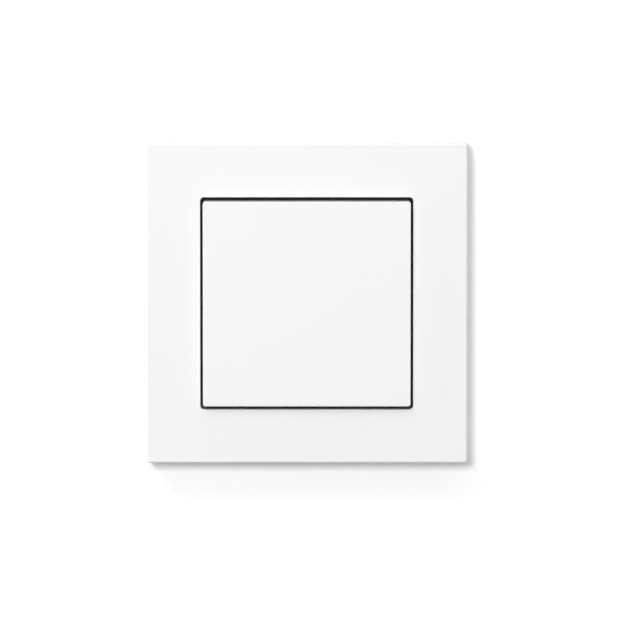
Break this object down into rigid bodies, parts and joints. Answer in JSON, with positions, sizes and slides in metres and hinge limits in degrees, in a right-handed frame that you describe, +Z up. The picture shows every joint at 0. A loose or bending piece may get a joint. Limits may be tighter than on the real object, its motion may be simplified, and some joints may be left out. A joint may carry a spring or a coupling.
{
  "type": "wireless light switch",
  "caption": "Square surface-mounted wireless wall switch: a flat frame round one large flat rocker, with a self-powered radio module and a wall plate behind it.",
  "frame": {"origin": "centre of the square rear rim of the frame, on the wall's plane", "axes": "+X to the right and +Z up, seen from the front; +Y into the wall, so the rocker faces -Y"},
  "size_m": [0.084, 0.0155, 0.084],
  "materials": {
    "cover_frame": "smooth white plastic with a soft gloss",
    "mounting_plate": "moulded anthracite plastic",
    "adhesive_pads": "closed-cell foam with an adhesive face",
    "module_carrier": "moulded anthracite plastic",
    "module_base": "moulded light grey plastic",
    "module_cover": "moulded light grey plastic",
    "circuit_board": "green solder mask on glass laminate",
    "radio_chip": "moulded black epoxy",
    "crystal": "plated metal can",
    "storage_capacitors": "tan ceramic",
    "rectifier_diodes": "moulded black epoxy",
    "antenna_wire": "bare copper alloy wire",
    "generator_core": "stamped soft iron",
    "coil_bobbin": "moulded black plastic",
    "coil_winding": "enamelled copper wire",
    "coil_terminals": "tinned pins",
    "upper_contact_mat": "grey silicone rubber",
    "lower_contact_mat": "grey silicone rubber",
    "energy_bow": "glass-filled black plastic",
    "upper_return_spring": "drawn spring steel",
    "lower_return_spring": "drawn spring steel",
    "armature_holder": "natural acetal plastic",
    "magnet": "nickel plated",
    "front_pole_plate": "stamped soft iron",
    "rear_pole_plate": "stamped soft iron",
    "leaf_spring": "rolled spring steel",
    "rocker": "smooth white plastic with a soft gloss"
  },
  "bodies": {
    "housing": {"cover_frame": "cover_frame", "mounting_plate": "mounting_plate", "adhesive_pads": "adhesive_pads", "module_carrier": "module_carrier", "module_base": "module_base", "module_cover": "module_cover", "circuit_board": "circuit_board", "radio_chip": "radio_chip", "crystal": "crystal", "storage_capacitors": "storage_capacitors", "rectifier_diodes": "rectifier_diodes", "antenna_wire": "antenna_wire", "generator_core": "generator_core", "coil_bobbin": "coil_bobbin", "coil_winding": "coil_winding", "coil_terminals": "coil_terminals", "upper_contact_mat": "upper_contact_mat", "lower_contact_mat": "lower_contact_mat", "upper_return_spring": "upper_return_spring", "lower_return_spring": "lower_return_spring"},
    "rocker_body": {"rocker": "rocker"},
    "bow_body": {"energy_bow": "energy_bow"},
    "armature_body": {"armature_holder": "armature_holder", "magnet": "magnet", "front_pole_plate": "front_pole_plate", "rear_pole_plate": "rear_pole_plate", "leaf_spring": "leaf_spring"}
  },
  "joints": [
    {"name": "rocker_tilt", "type": "hinge", "parent": "housing", "child": "rocker_body", "pos_m": [0, -0.0096, 0], "axis": [1, 0, 0], "range_deg": [-4.5, 4.5], "stiffness_Nm_per_rad": 1.5, "deforming": ["upper_contact_mat", "lower_contact_mat"]},
    {"name": "bow_tilt", "type": "hinge", "parent": "housing", "child": "bow_body", "pos_m": [0, -0.0074, 0], "axis": [1, 0, 0], "range_deg": [-4.5, 4.5], "deforming": ["upper_return_spring", "lower_return_spring"]},
    {"name": "armature_tilt", "type": "hinge", "parent": "housing", "child": "armature_body", "pos_m": [0, -0.0068, 0], "axis": [1, 0, 0], "range_deg": [-4.5, 4.5]}
  ],
  "couplings": [
    {"joint": "bow_tilt", "follows": "rocker_tilt", "ratio": 1},
    {"joint": "armature_tilt", "follows": "rocker_tilt", "ratio": 1}
  ]
}
